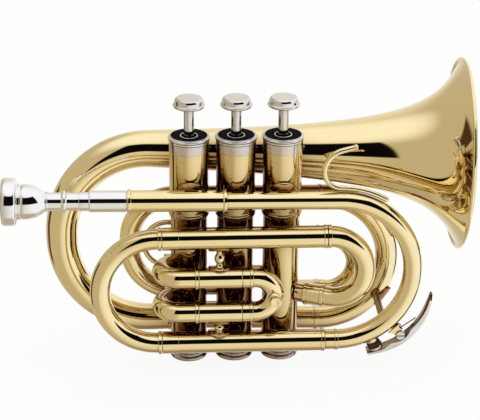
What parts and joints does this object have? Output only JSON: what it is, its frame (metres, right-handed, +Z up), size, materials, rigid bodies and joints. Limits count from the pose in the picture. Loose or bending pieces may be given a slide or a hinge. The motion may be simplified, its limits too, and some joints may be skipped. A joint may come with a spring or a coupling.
{
  "type": "pocket trumpet",
  "caption": "Coiled brass pocket trumpet with piston valves, tuning slide, valve slides, mouthpiece, finger hook, finger ring and a sprung water key.",
  "frame": {"origin": "centre of the middle valve's bottom cap, on its flat underside", "axes": "+Z up along the valves towards the finger buttons, +X towards the bell's mouth, +Y from the leadpipe side towards the bell side"},
  "size_m": [0.2626, 0.1117, 0.1677],
  "materials": {
    "lacquered_brass": "gold lacquer, polished",
    "nickel_plate": "polished nickel plate",
    "silver_plate": "polished silver plate",
    "valve_metal": "lapped monel",
    "spring_steel": "drawn wire",
    "black_felt": "pressed felt",
    "cork": "dark matt cork",
    "guide_nylon": "moulded"
  },
  "bodies": {
    "horn": {"valve_casing_1": "lacquered_brass", "valve_casing_2": "lacquered_brass", "valve_casing_3": "lacquered_brass", "top_cap_1": "nickel_plate", "top_cap_2": "nickel_plate", "top_cap_3": "nickel_plate", "cap_felt_1": "black_felt", "cap_felt_2": "black_felt", "cap_felt_3": "black_felt", "bottom_cap_1": "nickel_plate", "bottom_cap_2": "nickel_plate", "bottom_cap_3": "nickel_plate", "valve_guide_1": "guide_nylon", "valve_guide_2": "guide_nylon", "valve_guide_3": "guide_nylon", "valve_spring_1": "spring_steel", "valve_spring_2": "spring_steel", "valve_spring_3": "spring_steel", "mouthpiece_receiver": "lacquered_brass", "leadpipe": "lacquered_brass", "main_tube_upper": "lacquered_brass", "main_tube_lower": "lacquered_brass", "valve_3_bow": "lacquered_brass", "first_slide_upper_tube": "lacquered_brass", "first_slide_lower_tube": "lacquered_brass", "bell": "lacquered_brass", "bell_bow": "lacquered_brass", "coil_bottom_tube": "lacquered_brass", "coil_right_bow": "lacquered_brass", "coil_top_tube": "lacquered_brass", "coil_left_bow": "lacquered_brass", "slide_brace_upper": "lacquered_brass", "slide_brace_lower": "lacquered_brass", "leadpipe_brace_left": "lacquered_brass", "leadpipe_brace_right": "lacquered_brass", "bell_brace": "lacquered_brass", "coil_brace": "lacquered_brass", "finger_hook": "lacquered_brass", "finger_ring": "lacquered_brass", "water_key_saddle": "lacquered_brass", "water_key_spring": "spring_steel"},
    "valve_1": {"piston_1": "valve_metal", "valve_stem_1": "nickel_plate", "finger_button_1": "nickel_plate"},
    "valve_2": {"piston_2": "valve_metal", "valve_stem_2": "nickel_plate", "finger_button_2": "nickel_plate"},
    "valve_3": {"piston_3": "valve_metal", "valve_stem_3": "nickel_plate", "finger_button_3": "nickel_plate"},
    "tuning_slide": {"tuning_slide": "lacquered_brass"},
    "first_slide": {"first_slide_crook": "lacquered_brass", "first_slide_knob": "lacquered_brass"},
    "second_slide": {"second_slide_crook": "lacquered_brass", "second_slide_knob": "lacquered_brass"},
    "third_slide": {"third_slide_crook": "lacquered_brass", "third_slide_knob": "lacquered_brass"},
    "water_key": {"water_key_lever": "nickel_plate", "water_key_cork": "cork"},
    "mouthpiece": {"mouthpiece": "silver_plate"}
  },
  "joints": [
    {"name": "valve_1_press", "type": "slide", "parent": "horn", "child": "valve_1", "axis": [0, 0, -1], "range_m": [0, 0.016], "stiffness_N_per_m": 150, "springref_m": -0.02, "deforming": ["valve_spring_1"]},
    {"name": "valve_2_press", "type": "slide", "parent": "horn", "child": "valve_2", "axis": [0, 0, -1], "range_m": [0, 0.016], "stiffness_N_per_m": 150, "springref_m": -0.02, "deforming": ["valve_spring_2"]},
    {"name": "valve_3_press", "type": "slide", "parent": "horn", "child": "valve_3", "axis": [0, 0, -1], "range_m": [0, 0.016], "stiffness_N_per_m": 150, "springref_m": -0.02, "deforming": ["valve_spring_3"]},
    {"name": "tuning_slide_pull", "type": "slide", "parent": "horn", "child": "tuning_slide", "axis": [-1, 0, 0], "range_m": [0, 0.035]},
    {"name": "first_slide_pull", "type": "slide", "parent": "horn", "child": "first_slide", "axis": [1, 0, 0], "range_m": [0, 0.015]},
    {"name": "second_slide_pull", "type": "slide", "parent": "horn", "child": "second_slide", "axis": [0, 1, 0], "range_m": [0, 0.008]},
    {"name": "third_slide_pull", "type": "slide", "parent": "horn", "child": "third_slide", "axis": [1, 0, 0], "range_m": [0, 0.01]},
    {"name": "water_key_turn", "type": "hinge", "parent": "horn", "child": "water_key", "pos_m": [0.09353, -0.018, 0.02025], "axis": [0, -1, 0], "range_deg": [0, 10], "stiffness_Nm_per_rad": 0.02, "springref_deg": -28.65, "deforming": ["water_key_spring"]},
    {"name": "mouthpiece_draw", "type": "slide", "parent": "horn", "child": "mouthpiece", "axis": [-0.9999, 0, 0.0113], "range_m": [0, 0.025]}
  ]
}
